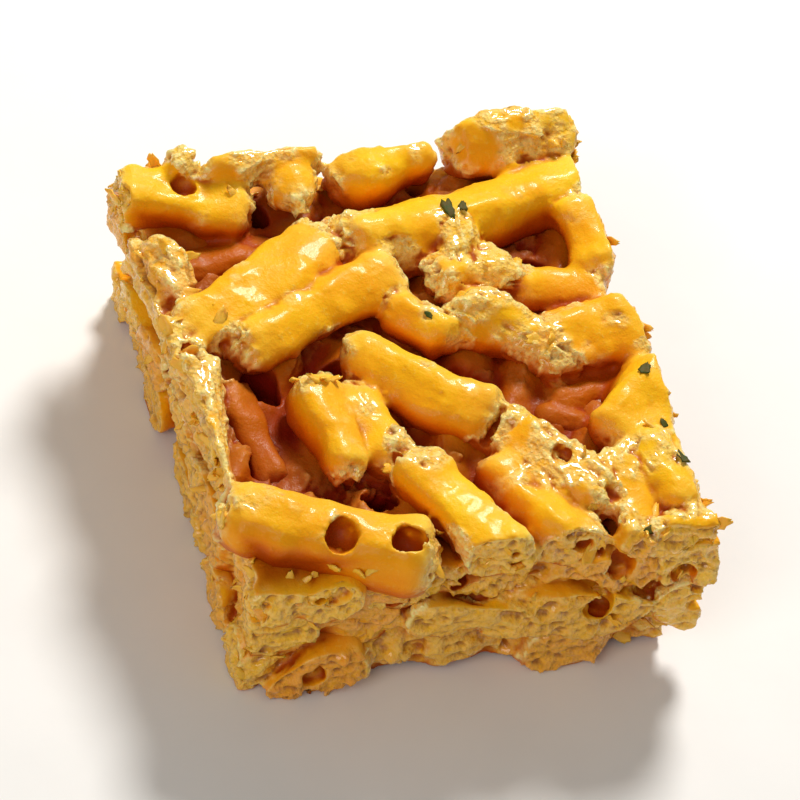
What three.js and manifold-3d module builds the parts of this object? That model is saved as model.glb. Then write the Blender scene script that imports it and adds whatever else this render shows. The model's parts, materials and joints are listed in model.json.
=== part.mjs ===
// Sachima: one cut block of puffed, fried dough strands that syrup holds together.
//
// Millimetres, +Z up. The block lies on its underside, with the large face up. The origin is on the
// surface that it rests on, under the middle of its outline. It is one piece and nothing on it moves.
//
// The strands on top are laid one by one, as a maker would press them into the tray. Those below lie
// in layers, end to end in rows, and the knife cuts them all round. A filled core joins them inside.

import * as THREE from 'three';
import { mergeVertices } from 'three/addons/utils/BufferGeometryUtils.js';
import Module from 'manifold-3d';

const wasm = await Module();
wasm.setup();

// ---- Driving sizes ----------------------------------------------------------------------------

const BLOCK = { width: 57, depth: 61, height: 24 };
// The cut sides wander in and out, over ripples of these lengths and with these facets each way.
const WANDER = { depth: 0.9, ripples: [3.2, 4.3, 3.7, 2.9], facets: [4, 4, 2] };
const CUTS = [0, 0.9, 1.8]; // the knife crushes some strands, so they end this far behind the side
const LEAN = 4; // the knife slanted on the left side, so the underside starts this much further in
const CORE = { inset: 4.6, floor: 2.2, top: 17.4 }; // filled part, out of sight

// Facets of a strand: round it, along its straight part and over each blunt end.
const SHOWN = { sides: 8, rings: 2, capRings: 2 };
const BELOW = { sides: 6, rings: 1, capRings: 1 };
const STRAND = {
  blunt: 0.62, // length of an end over its radius
  flatness: 0.92, // height over width, as the strands are pressed
  lump: 0.07, // how uneven a strand is, over its radius
};

// Rows of strands under the top ones: height of their middles and their heading in degrees.
const LAYERS = [
  { height: 15.9, heading: 62 },
  { height: 9.3, heading: -24 },
  { height: 2.7, heading: 38 },
];
// Sizes along and across the rows, and how far each strand strays from its place in them.
const ROW = {
  pitch: 7.3, thick: [6.6, 8.4], length: [15, 29], gap: 0.8,
  stagger: 6, shift: 0.7, lift: 0.7, rise: 0.8, turn: 9, bow: 1.2,
};
// Bubbles that open in the cut ends: how many, how far in they lie and how low they may.
const PORE = { radius: [1.3, 2.1], share: 0.55, sunk: 0.3, inset: -0.3, floor: 0.6 };
const SLIVER = 1e-3; // vertices closer than this are one

// Strands on top: from (x, y) to (x, y), thickness, how deep the crown lies and bow to the side.
const TOP_STRANDS = [
  // back left corner
  [[-27.5, 27], [-12, 23.5], 7, 0.5, 0.5],
  [[-26, 19.5], [-23.5, 10.5], 6, 1.5, -0.5],
  [[-17.5, 28.5], [-3, 29], 5.5, -1, 1],
  [[-6, 30], [-7.5, 21.5], 5.5, -0.5, 0],
  [[-24, 16.5], [-9, 19], 6.5, 4, 0],
  // the slanting row of the left half
  [[-25.5, 5], [-4.5, 17], 8, 0, 0.8],
  [[-20, 3], [1.5, 12], 7.5, 0, 0.5],
  // the long smooth ridges of the back right
  [[-5, 16.5], [30, 24], 8.5, 0, 1.5],
  [[-2.5, 26], [10.5, 30], 8, -0.5, 1],
  [[12, 30], [29, 29.5], 8, -1.5, 0.5],
  [[26, 20], [26.5, 8.5], 7, 0.5, 0.5],
  // the short torn pieces and the arc of the middle
  [[5, 10], [15, 11], 5.5, 0, 0],
  [[9, 11.5], [10, 17.5], 4.5, -0.5, 0],
  [[14.5, 9], [26, 7.5], 6.5, 2, 0],
  [[6, 5.5], [16, -2], 7.5, 0, -1],
  [[13.5, -2], [28, 1.5], 8, 0, -1],
  [[0, 7.5], [4.5, 0], 5.5, 0.5, 0],
  // the long pair that runs to the front
  [[-7.5, 2], [7, -11], 7, 0, 0.5],
  [[5.5, -9.5], [16, -24], 7, 0.5, -0.5],
  [[-9, -3], [-6, -15], 7, 1.5, 0],
  [[-12, -2.5], [-12.5, -16.5], 6, 0.5, 0],
  [[-20.5, 1.5], [-19, -14], 5.5, 2.5, 0],
  [[12.5, -7], [24.5, -14], 7, 4.5, 0],
  [[14, -6], [29, -3.5], 6.5, 4.5, 0],
  // the front edge
  [[-27, -17.5], [-5, -28], 9, 0, 1],
  [[-4.5, -14], [3.5, -31], 7.5, 0, 0.5],
  [[4.5, -15], [13, -30.5], 6.5, 1, 0.5],
  [[19, -16.5], [18, -30], 5.5, 1, 0],
  [[19, -15.5], [28.5, -5], 8, 0, 0.5],
  [[27.5, -10], [26, -26.5], 8, 0.5, 0],
  [[22, -14], [24, -26], 7, 0.5, 0],
  [[20, -28], [30, -28], 5, 1, 0],
  // the rims of the left and front sides
  [[-25.5, 2], [-27, -19], 6, 0.5, 0.5],
  [[-28, 7], [-25, 1], 5, 1, 0],
  [[-27.5, 22], [-27, 7], 5.5, 3.5, 0],
  [[-26, -28], [-7, -28.5], 7.5, 7.5, 0],
];
// Crumbs on the ridges: place, width and how far their tops stand over the block's height.
const CRUMBS = [
  [-19.5, 28.5, 3.5, 1],
  [22, 28.5, 4, 2],
  [9.5, 15.5, 3, 0.5],
  [-26, 0.5, 3, 0],
];
// Open bubbles on top and on the front rim: place, radius.
const BUBBLES = [
  [-15.5, -25.5, 23, 2.1],
  [-8.5, -27.5, 22.8, 2.3],
  [-20, 25.5, 23.2, 1.5],
  [-25, 2, 23, 1.5],
  [-16, -30.4, 12.8, 1.8],
  [12, -17.5, 22.8, 1.2],
];

// ---- Helpers ----------------------------------------------------------------------------------

let draw = 4177;
const random = () => (draw = (draw * 16807) % 2147483647) / 2147483647;
const between = ([low, high]) => low + (high - low) * random();
const either = (spread) => spread * (2 * random() - 1);

/** A closed geometry as a solid, once its doubled vertices are merged. */
function solid(geometry) {
  geometry.deleteAttribute('normal');
  geometry.deleteAttribute('uv');
  const merged = mergeVertices(geometry, SLIVER);
  const corner = merged.index.array;
  const kept = [];
  for (let i = 0; i < corner.length; i += 3) {
    const [a, b, c] = corner.slice(i, i + 3);
    if (a !== b && b !== c && c !== a) kept.push(a, b, c);
  }
  const vertProperties = Float32Array.from(merged.attributes.position.array);
  return new wasm.Manifold(new wasm.Mesh({ numProp: 3, vertProperties, triVerts: Uint32Array.from(kept) }));
}

/** The surface of a solid as a three.js geometry. */
function surface(body) {
  const { vertProperties, triVerts } = body.getMesh();
  const geometry = new THREE.BufferGeometry();
  geometry.setAttribute('position', new THREE.BufferAttribute(Float32Array.from(vertProperties), 3));
  geometry.setIndex(new THREE.BufferAttribute(Uint32Array.from(triVerts), 1));
  return geometry;
}

/** Moves every vertex of a geometry by a function that changes the vector it is given. */
function moveVertices(geometry, move) {
  const place = geometry.attributes.position;
  const point = new THREE.Vector3();
  for (let i = 0; i < place.count; i++) {
    move(point.fromBufferAttribute(place, i));
    place.setXYZ(i, point.x, point.y, point.z);
  }
  return geometry;
}

/** One puffed strand between two points, blunt at its ends, bowed to the side and a little lumpy. */
function strand(start, end, thick, bow, { sides, rings, capRings }) {
  const radius = thick / 2;
  const along = end.clone().sub(start);
  const span = along.length();
  along.normalize();
  const side = along.clone().cross(new THREE.Vector3(0, 0, 1)).normalize();
  const up = side.clone().cross(along);
  const straight = Math.max(span - 2 * radius * STRAND.blunt, 0.4);
  const tube = new THREE.CapsuleGeometry(radius, straight, capRings, sides, rings);
  const phase = 2 * Math.PI * random();
  const waves = 2 + Math.round(2 * random());
  return moveVertices(tube, (point) => {
    const past = Math.max(Math.abs(point.y) - straight / 2, 0);
    const reach = Math.sign(point.y) * (Math.min(Math.abs(point.y), straight / 2) + past * STRAND.blunt);
    const share = (2 * reach) / span;
    const angle = Math.atan2(point.z, point.x);
    const swell = 1 + STRAND.lump * (Math.sin(waves * share + phase) + Math.cos(2 * angle + phase));
    const across = point.x * swell + bow * (1 - share * share);
    const lift = point.z * swell * STRAND.flatness;
    point.copy(start).add(end).multiplyScalar(0.5);
    point.addScaledVector(along, reach).addScaledVector(side, across).addScaledVector(up, lift);
  });
}

const middleUnder = (top, thick) => top - (thick * STRAND.flatness) / 2;

// ---- The pieces -------------------------------------------------------------------------------

/** The space inside the knife's cuts: a block whose sides wander, flat underneath. */
function cutBlock(behind) {
  const [halfWidth, halfDepth] = [BLOCK.width / 2, BLOCK.depth / 2];
  const tall = BLOCK.height + 6;
  const walls = new THREE.BoxGeometry(BLOCK.width, BLOCK.depth, tall, ...WANDER.facets);
  return solid(moveVertices(walls.translate(0, 0, tall / 2), (point) => {
    const { x, y, z } = point;
    const [a, b, c, d] = WANDER.ripples;
    const wave = Math.sin((x - y) / a + z / b) * Math.cos((x + y) / c - z / d);
    const inwards = behind + (WANDER.depth * (1 + wave)) / 2;
    if (Math.abs(x) > halfWidth - 0.1) point.x -= Math.sign(x) * inwards;
    if (x < 0.1 - halfWidth) point.x += LEAN * Math.max(1 - z / BLOCK.height, 0);
    if (Math.abs(y) > halfDepth - 0.1) point.y -= Math.sign(y) * inwards;
  }));
}

/** The part of the block that is filled, out of sight behind the strands. */
function core() {
  const { inset, floor, top } = CORE;
  const filled = new THREE.BoxGeometry(BLOCK.width - 2 * inset, BLOCK.depth - 2 * inset, top - floor);
  return solid(moveVertices(filled.translate(0, 0, (top + floor) / 2), (point) => {
    if (point.x < 0) point.x += LEAN * (1 - point.z / BLOCK.height);
  }));
}

function topStrands() {
  return TOP_STRANDS.map(([from, to, thick, drop, bow]) => {
    const middle = middleUnder(BLOCK.height - drop, thick);
    const tilt = either(0.35);
    const start = new THREE.Vector3(...from, middle - tilt);
    const end = new THREE.Vector3(...to, middle + tilt);
    return solid(strand(start, end, thick, bow, SHOWN));
  });
}

/** Where a line from inside the block leaves through a side, or null if it ends inside. */
function leavesBlock(inside, outside) {
  const ways = [];
  for (const [axis, half] of [['x', BLOCK.width / 2], ['y', BLOCK.depth / 2]]) {
    const run = outside[axis] - inside[axis];
    const wall = Math.sign(run) * half;
    if (Math.abs(outside[axis]) > half) ways.push((wall - inside[axis]) / run);
  }
  return ways.length ? inside.clone().lerp(outside, Math.min(...ways)) : null;
}

const outOfReach = ({ x, y }) => Math.abs(x) > BLOCK.width / 2 + 4 || Math.abs(y) > BLOCK.depth / 2 + 4;

/** Whether the end of a strand lies wholly inside the filled core. */
function isBuried({ x, y, z }, thick) {
  const { inset, floor, top } = CORE;
  const radius = thick / 2;
  const inWidth = Math.abs(x) + radius < BLOCK.width / 2 - inset;
  const inDepth = Math.abs(y) + radius < BLOCK.depth / 2 - inset;
  return inWidth && inDepth && z + radius < top && z - radius > floor;
}

const turned = (angle) => new THREE.Vector3(Math.cos(angle), Math.sin(angle), 0);

/** The strands of one layer, end to end in rows, and the bubbles that the knife opens in them. */
function layer({ height, heading }) {
  const strands = [];
  const pores = [];
  const reach = Math.hypot(BLOCK.width, BLOCK.depth) / 2;
  const rows = Math.ceil(reach / ROW.pitch);
  const rowWay = turned(THREE.MathUtils.degToRad(heading));
  const nextRow = turned(THREE.MathUtils.degToRad(heading + 90));
  for (let row = -rows; row <= rows; row++) {
    let from = -reach + either(ROW.stagger);
    while (from < reach) {
      const length = between(ROW.length);
      const thick = between(ROW.thick);
      const centre = new THREE.Vector3(0, 0, height + either(ROW.lift));
      centre.addScaledVector(rowWay, from + length / 2);
      centre.addScaledVector(nextRow, row * ROW.pitch + either(ROW.shift));
      const half = turned(THREE.MathUtils.degToRad(heading + either(ROW.turn))).multiplyScalar(length / 2);
      half.z = either(ROW.rise);
      const start = centre.clone().sub(half);
      const end = centre.clone().add(half);
      const piece = solid(strand(start, end, thick, either(ROW.bow), BELOW));
      const isOpen = random() < PORE.share;
      const wide = between(PORE.radius);
      from += length + ROW.gap;
      if (outOfReach(centre) || (isBuried(start, thick) && isBuried(end, thick))) continue;
      strands.push(piece);
      const cut = leavesBlock(centre, end) ?? leavesBlock(centre, start);
      if (isOpen && cut && cut.z > wide + PORE.floor) pores.push(pore(cut, wide));
    }
  }
  return { strands, pores };
}

/** A bubble that the knife has opened where it met a strand. */
function pore(cut, radius) {
  const inwards = PORE.inset - radius * PORE.sunk;
  const { x, y } = cut.clone().setZ(0).normalize().multiplyScalar(inwards).add(cut);
  return bubble(x, y, cut.z, radius);
}

function bubble(x, y, z, radius) {
  return solid(new THREE.SphereGeometry(radius, 6, 4).rotateX(1).translate(x, y, z));
}

function crumb(x, y, size, proud) {
  const lump = new THREE.IcosahedronGeometry(size / 2, 1);
  moveVertices(lump, (point) => point.multiplyScalar(1 + 0.12 * Math.sin(2.1 * point.x + 1.7 * point.y)));
  return solid(lump.translate(x, y, BLOCK.height + proud - size / 2));
}

const join = (pieces) => pieces.reduce((whole, piece) => whole.add(piece));

// ---- The block --------------------------------------------------------------------------------

/** The largest body only: without the loose scraps, and with the hollows that are sealed filled. */
function largest(shape) {
  return shape.decompose().reduce((best, body) => (body.volume() > best.volume() ? body : best));
}

function sachima() {
  const layers = LAYERS.map(layer);
  const strands = [...topStrands(), ...layers.flatMap(({ strands: laid }) => laid)];
  const cut = CUTS.map((behind, turn) => {
    const crushed = strands.filter((_, place) => place % CUTS.length === turn);
    return join(crushed).intersect(cutBlock(behind));
  });
  const opened = [...BUBBLES.map((row) => bubble(...row)), ...layers.flatMap(({ pores }) => pores)];
  return largest(join([core(), ...cut, ...CRUMBS.map((row) => crumb(...row))]).subtract(join(opened)));
}

/** Closes up the edges shorter than a sliver, until that seals no further hollow off. */
function withoutSlivers(geometry) {
  let cleaned = geometry;
  let triangles;
  do {
    triangles = cleaned.index.count;
    cleaned = surface(largest(solid(cleaned, SLIVER)));
  } while (cleaned.index.count < triangles);
  return cleaned;
}

/** The solid as a mesh that stands on z = 0 with its box centred on the origin. */
function asMesh(body, name, material) {
  let geometry = surface(body);
  geometry.computeBoundingBox();
  const { min, max } = geometry.boundingBox;
  geometry.translate(-(min.x + max.x) / 2, -(min.y + max.y) / 2, -min.z);
  geometry = withoutSlivers(geometry);
  geometry.computeVertexNormals();
  const mesh = new THREE.Mesh(geometry, material);
  mesh.name = name;
  return mesh;
}

const syrupedDough = new THREE.MeshStandardMaterial({ color: 0xe39a26, roughness: 0.32, metalness: 0 });

const part = new THREE.Group();
part.add(asMesh(sachima(), 'sachima_block', syrupedDough));

export default part;
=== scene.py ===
"""Sachima: one cut block of puffed, fried dough strands bound with syrup, on a plain studio floor.

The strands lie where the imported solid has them: LAID_ON_TOP and the layers under it repeat its
layout, in millimetres, but for one strand that lies lower beside the largest gap. finish_piece
turns each piece into metres once, at the end. Every group of strands is modelled strand by strand,
fused where the strands touch, opened by bubbles, and then roughened where the knife tore it. What
lies on the block is shaped to the finished surface.
"""

import json
import math

import bmesh
import bpy
import numpy as np
from bpy.props import FloatProperty, FloatVectorProperty, IntProperty, PointerProperty
from mathutils import Matrix, Vector
from mathutils.bvhtree import BVHTree

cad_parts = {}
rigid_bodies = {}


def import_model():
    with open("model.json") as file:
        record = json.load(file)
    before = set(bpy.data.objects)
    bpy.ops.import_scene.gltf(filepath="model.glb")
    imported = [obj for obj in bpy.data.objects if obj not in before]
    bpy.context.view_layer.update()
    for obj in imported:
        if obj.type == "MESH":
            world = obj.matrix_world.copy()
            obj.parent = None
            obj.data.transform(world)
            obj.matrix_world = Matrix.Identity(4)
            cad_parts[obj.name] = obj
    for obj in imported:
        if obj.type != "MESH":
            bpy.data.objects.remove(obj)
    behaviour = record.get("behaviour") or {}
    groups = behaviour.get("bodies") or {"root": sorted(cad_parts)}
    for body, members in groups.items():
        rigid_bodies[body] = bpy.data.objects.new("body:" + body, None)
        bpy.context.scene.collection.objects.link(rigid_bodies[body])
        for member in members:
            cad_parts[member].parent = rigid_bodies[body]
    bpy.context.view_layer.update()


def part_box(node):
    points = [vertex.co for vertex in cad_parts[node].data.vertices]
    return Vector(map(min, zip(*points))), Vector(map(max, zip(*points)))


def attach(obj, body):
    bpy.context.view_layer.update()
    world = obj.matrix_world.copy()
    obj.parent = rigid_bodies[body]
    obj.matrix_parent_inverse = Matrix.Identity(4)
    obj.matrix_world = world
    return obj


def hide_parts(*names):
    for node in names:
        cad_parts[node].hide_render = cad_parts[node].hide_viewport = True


bl_info = {
    "name": "Sachima block",
    "version": (1, 0, 0),
    "blender": (4, 5, 0),
    "location": "3D View > Sidebar > Sachima",
    "description": "A cut block of puffed dough strands bound with syrup",
    "category": "Object",
}

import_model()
SOLID = "sachima_block"
MM = 0.001
UP, DOWN = Vector((0, 0, 1)), Vector((0, 0, -1))
MOST_TRIANGLES = 195000  # of one piece
SEEDS = {"top": 3, "layers": 5, "filling": 81, "flakes": 23, "flecks": 11, "tones": 7}

# ---- The layout of the block, in millimetres --------------------------------------------------

BLOCK = Vector((57.0, 61.0, 24.0))
CENTRED = Vector((-0.427, 0.007, 0.0))  # from the layout's origin to the middle of the block
CUTS = (0.0, 0.9, 1.8)  # how far behind the knife's cut the strands end, in turn
LEAN = 4.0  # how much further in the slanted left side starts at the underside
WHOLE = {24}  # the strands of LAID_ON_TOP that the knife missed
KNIFE_REACH = 7.5  # how near a side a strand has to come to be cut there
WANDER = {"depth": 0.9, "ripples": (3.2, 4.3, 3.7, 2.9)}  # of a side, in and out
ASKEW = {"up": 0.12, "along": 0.07}  # the most that one strand's cut slopes
CUT_SKIN = (4.2, 2.6)  # how far behind a side its cut faces begin and are whole
CORE = {"inset": 4.6, "floor": 2.2, "top": 17.4}  # the solid's, which hides the strands in it
# What fills the block behind each layer: bottom, top and distance from the sides.
FILLINGS = ((13.5, 18.2, 3.4), (6.5, 14.5, 3.6), (0.6, 8.0, 3.2))
BLUNT, FLATNESS, LUMP = 0.62, 0.92, 0.07  # a strand's ends, its section and its swelling
# What differs from strand to strand: squareness, roll, sway, taper and twist, and torn length.
STRAND_SPANS = ((2.6, 4.4), (-0.7, 0.7), (0.2, 0.6), (-0.13, 0.13), (-0.5, 0.5))
TEAR = (0.4, 1.2)
LAYERS = ((15.9, 62), (9.3, -24), (2.7, 38))  # height and heading
ROW = {
    "pitch": 7.3, "thick": (6.6, 8.4), "length": (15, 29), "gap": 0.8,
    "stagger": 6, "shift": 0.7, "lift": 0.7, "rise": 0.8, "turn": 9, "bow": 1.2,
}
OVERHANG = 4  # how far outside the block the middle of a strand may lie
TOP_TILT = 0.35  # how far the ends of a strand on top may be off its height
LAYOUT_SEED = 4177  # the solid's

# From (x, y) to (x, y), thickness, depth of the crown, bow to the side, and how dry and torn.
LAID_ON_TOP = (
    # back left corner
    ((-27.5, 27), (-12, 23.5), 7, 0.5, 0.5, 0.3),
    ((-26, 19.5), (-23.5, 10.5), 6, 1.5, -0.5, 0.9),
    ((-17.5, 28.5), (-3, 29), 5.5, -1, 1, 0.7),
    ((-6, 30), (-7.5, 21.5), 5.5, -0.5, 0, 0.6),
    ((-24, 16.5), (-9, 19), 6.5, 4, 0, 0),
    # the slanting row of the left half
    ((-25.5, 5), (-4.5, 17), 8, 0, 0.8, 0.1),
    ((-20, 3), (1.5, 12), 7.5, 0, 0.5, 0.25),
    # the long smooth ridges of the back right
    ((-5, 16.5), (30, 24), 8.5, 0, 1.5, 0.1),
    ((-2.5, 26), (10.5, 30), 8, -0.5, 1, 0.05),
    ((12, 30), (29, 29.5), 8, -1.5, 0.5, 0.7),
    ((26, 20), (26.5, 8.5), 7, 0.5, 0.5, 0.35),
    # the short torn pieces and the arc of the middle
    ((5, 10), (15, 11), 5.5, 0, 0, 0.9),
    ((9, 11.5), (10, 17.5), 4.5, -0.5, 0, 0.9),
    ((14.5, 9), (26, 7.5), 6.5, 2, 0, 0.05),
    ((6, 5.5), (16, -2), 7.5, 0, -1, 0.45),
    ((13.5, -2), (28, 1.5), 8, 0, -1, 0.35),
    ((0, 7.5), (4.5, 0), 5.5, 0.5, 0, 0.3),
    # the long pair that runs to the front
    ((-7.5, 2), (7, -11), 7, 0, 0.5, 0.1),
    ((5.5, -9.5), (16, -24), 7, 0.5, -0.5, 0.6),
    ((-9, -3), (-6, -15), 7, 1.5, 0, 0.35),
    ((-12, -2.5), (-12.5, -16.5), 6, 0.5, 0, 0.4),
    ((-20.8, 0.5), (-19.4, -14), 5, 4.3, 0, 0),
    ((12.5, -7), (24.5, -14), 7, 4.5, 0, 0),
    ((14, -6), (29, -3.5), 6.5, 4.5, 0, 0),
    # the front edge
    ((-27, -17.5), (-5, -28), 9, 0, 1, 0.1),
    ((-4.5, -14), (3.5, -31), 7.5, 0, 0.5, 0.3),
    ((4.5, -15), (13, -30.5), 6.5, 1, 0.5, 0.35),
    ((19, -16.5), (18, -30), 5.5, 1, 0, 0.3),
    ((19, -15.5), (28.5, -5), 8, 0, 0.5, 0.15),
    ((27.5, -10), (26, -26.5), 8, 0.5, 0, 0.25),
    ((22, -14), (24, -26), 7, 0.5, 0, 0.15),
    ((20, -28), (30, -28), 5, 1, 0, 0.4),
    # the rims of the left and front sides
    ((-25.5, 2), (-27, -19), 6, 0.5, 0.5, 0.8),
    ((-28, 7), (-25, 1), 5, 1, 0, 0.8),
    ((-27.5, 22), (-27, 7), 5.5, 3.5, 0, 0.8),
    ((-26, -28), (-7, -28.5), 7.5, 7.5, 0, 0.8),
)
# Crumbs that stick to the top: place, size and how proud they are.
CRUMBS_ON_TOP = ((-19.5, 28.5, 3.5, 1), (22, 28.5, 4, 2), (9.5, 15.5, 3, 0.5), (-26, 0.5, 3, 0))
# Open bubbles of the strands on top: place and radius.
BUBBLES_ON_TOP = (
    (-15.5, -25.5, 23, 2.1),
    (-8.5, -27.5, 22.8, 2.3),
    (-20, 25.5, 23.2, 1.5),
    (-25, 2, 23, 1.5),
    (-16, -30.4, 12.8, 1.8),
    (12, -17.5, 22.8, 1.2),
    (-6.3, -15.6, 21.8, 1.1),
)
# The crack across the long pair: middle of its bottom, heading, half its width and length, height.
CRACK = ((5.5, -12.5, 20.8), (0.68, 0.73, 0), (0.55, 3.6), 3.4)
CRACK_STEPS = 7  # long bubbles one over the other, which open it
# Dark gaps that reach down between the strands on top: place and radius.
GAPS = (
    (-17.4, -0.9, 2.7), (-20, -12, 1.8), (-8.4, -18.4, 2.2), (-8.6, 0.3, 1.5), (1.9, 11.5, 1.4),
    (-11, 23.8, 1.7), (11, 7.5, 1.6), (17.5, -17.5, 1.6), (9, 26.5, 1.3), (19, 12.5, 1.7),
)
GAP_MIDDLE, GAP_REACH = 17, 5.5  # the height of a gap's middle, and how far it goes up and down
BUBBLE_GRAIN = 0.2  # length of the facets of all that is hollowed out
# Flecks of dried seaweed that show on top: place and length.
FLECKS = (
    (8.8, 17.2, 2.7), (10.6, 17.6, 1.6), (24.6, -7.7, 2.0), (24.9, -14.6, 1.2), (25.2, -20.0, 1.7),
    (15.3, -25.2, 2.2), (19.1, -28.4, 2.2), (2.5, 3.2, 1.1), (-1.4, -13.5, 1.2),
)
FLECK_THICK, FLECK_LIFT = 0.0001, 0.0002  # metres
# Torn flakes of dry skin: how many places are tried, and what differs from flake to flake.
FLAKE_TRIES = {"sides": 80, "ends": 40, "rims": 90}
FLAKE_LENGTH, FLAKE_LEAN, FLAKE_THICK = (1.2, 2.5), (0.2, 0.8), 0.00018  # mm, radians, metres
SIDE_HEIGHTS, RIM_HEIGHTS = (1.5, 23), (20, 23)  # between which flakes stick on
ALONG_SIDE = 0.47  # how far from a side's middle flakes are put, over its length
FAR = 60  # from where rays look for the surface

# ---- Random draws and laid strands ------------------------------------------------------------


class Draws:
    """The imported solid's own run of random numbers, so that both lay the same strands."""

    FACTOR, LOOP = 16807, 2147483647

    def __init__(self, seed):
        self.state = seed

    def share(self):
        self.state = self.state * self.FACTOR % self.LOOP
        return self.state / self.LOOP

    def between(self, span):
        return span[0] + (span[1] - span[0]) * self.share()

    def either(self, spread):
        return spread * (2 * self.share() - 1)

    def skip(self, count):
        for _ in range(count):
            self.share()


class Strand:
    """One puffed strand: its ends, its thickness, its bow to the side and how its swelling runs."""

    def __init__(self, start, end, thick, bow, draws):
        self.start, self.end, self.bow = Vector(start), Vector(end), bow
        self.radius = thick / 2
        along = self.end - self.start
        self.half = along.length / 2
        self.middle = (self.start + self.end) / 2
        self.along = along.normalized()
        self.side = self.along.cross(UP).normalized()
        self.up = self.side.cross(self.along)
        self.phase = 2 * math.pi * draws.share()
        self.waves = 2 + round(2 * draws.share())
        self.behind, self.number, self.dry, self.is_whole = 0.0, 0, 0.3, False

    def ring(self, reach):
        """The strand's radius at a distance from its middle: even, and blunt at both ends."""
        blunt = self.radius * BLUNT
        past = max(abs(reach) - (self.half - blunt), 0) / blunt
        return self.radius * math.sqrt(max(1 - past * past, 0))

    def centre(self, share):
        """The middle of its section at a share of the way from its own middle to an end."""
        aside = self.side * (self.bow * (1 - share * share))
        return self.middle + self.along * (self.half * share) + aside


def turned(degrees):
    angle = math.radians(degrees)
    return Vector((math.cos(angle), math.sin(angle), 0))


def is_buried(end, radius):
    inset, low, high = CORE["inset"], CORE["floor"], CORE["top"]
    in_plan = all(abs(end[i]) + radius < BLOCK[i] / 2 - inset for i in (0, 1))
    return in_plan and end.z + radius < high and end.z - radius > low


def lay_layer(draws, height, heading):
    """The strands of one layer, end to end in rows."""
    laid = []
    reach = math.hypot(BLOCK.x, BLOCK.y) / 2
    rows = math.ceil(reach / ROW["pitch"])
    row_way, next_row = turned(heading), turned(heading + 90)
    for row in range(-rows, rows + 1):
        at = -reach + draws.either(ROW["stagger"])
        while at < reach:
            length, thick = draws.between(ROW["length"]), draws.between(ROW["thick"])
            centre = Vector((0, 0, height + draws.either(ROW["lift"])))
            centre += row_way * (at + length / 2)
            centre += next_row * (row * ROW["pitch"] + draws.either(ROW["shift"]))
            half = turned(heading + draws.either(ROW["turn"])) * (length / 2)
            half.z = draws.either(ROW["rise"])
            bow = draws.either(ROW["bow"])
            strand = Strand(centre - half, centre + half, thick, bow, draws)
            draws.skip(2)  # for the pore that only the solid has
            at += length + ROW["gap"]
            outside = any(abs(centre[i]) > BLOCK[i] / 2 + OVERHANG for i in (0, 1))
            buried = is_buried(strand.start, thick / 2) and is_buried(strand.end, thick / 2)
            if not outside and not buried:
                laid.append(strand)
    return laid


def lay_top(draws):
    laid = []
    for start, end, thick, drop, bow, dry in LAID_ON_TOP:
        height = BLOCK.z - drop - thick * FLATNESS / 2
        tilt = draws.either(TOP_TILT)
        strand = Strand((*start, height - tilt), (*end, height + tilt), thick, bow, draws)
        strand.dry, strand.is_whole = dry, len(laid) in WHOLE
        laid.append(strand)
    return laid


def lay_strands():
    """All strands of the block, from the top down: those on top, then the three layers."""
    draws = Draws(LAYOUT_SEED)
    below = [lay_layer(draws, *layer) for layer in LAYERS]
    groups = [lay_top(draws), *below]
    for number, strand in enumerate(strand for group in groups for strand in group):
        strand.number, strand.behind = number, CUTS[number % len(CUTS)]
    return groups


# ---- Patterns over points ---------------------------------------------------------------------

LATTICE = 32


def ripple(points, size, seed):
    """A smooth random value from -1 to 1 at each point, which changes over lengths of size."""
    table = np.random.RandomState(seed).uniform(-1, 1, (LATTICE,) * 3)
    scaled = points / size
    low = np.floor(scaled).astype(int)
    part = scaled - low
    part = part * part * (3 - 2 * part)
    value = np.zeros(len(points))
    for corner in np.ndindex(2, 2, 2):
        weight = np.prod(np.where(corner, part, 1 - part), axis=1)
        spot = (low + corner) % LATTICE
        value += weight * table[spot[:, 0], spot[:, 1], spot[:, 2]]
    return value


def rough(points, size, seed, octaves=3):
    """Ripples on ripples, each half as long and half as high."""
    return sum(ripple(points, size / 2**i, seed + i) / 2**i for i in range(octaves))


def cells(points, size, seed):
    """The distance from each point to the nearest of some strewn seeds, over their spacing."""
    offsets = np.random.RandomState(seed).uniform(0, 1, (LATTICE, LATTICE, LATTICE, 3))
    scaled = points / size
    low = np.floor(scaled).astype(int)
    nearest = np.full(len(points), 9.0)
    for step in np.ndindex(3, 3, 3):
        cell = low + np.array(step) - 1
        spot = cell % LATTICE
        seed_at = cell + offsets[spot[:, 0], spot[:, 1], spot[:, 2]]
        nearest = np.minimum(nearest, np.linalg.norm(scaled - seed_at, axis=1))
    return nearest


def ramp(value, low, high):
    """0 below low, 1 above high and a smooth rise between them."""
    part = np.clip((value - low) / (high - low), 0, 1)
    return part * part * (3 - 2 * part)


# ---- Strands as meshes ------------------------------------------------------------------------


def lean_at(x, z):
    """How much further in the left side lies at a height."""
    return LEAN * max(1 - z / BLOCK.z, 0) if x < 0 else 0


def wall_depth(strand, x, y, z):
    """How far inside the block's outline a strand was cut, near a point."""
    a, b, c, d = WANDER["ripples"]
    wave = math.sin((x - y) / a + z / b) * math.cos((x + y) / c - z / d)
    return strand.behind + WANDER["depth"] * (1 + wave) / 2


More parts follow.
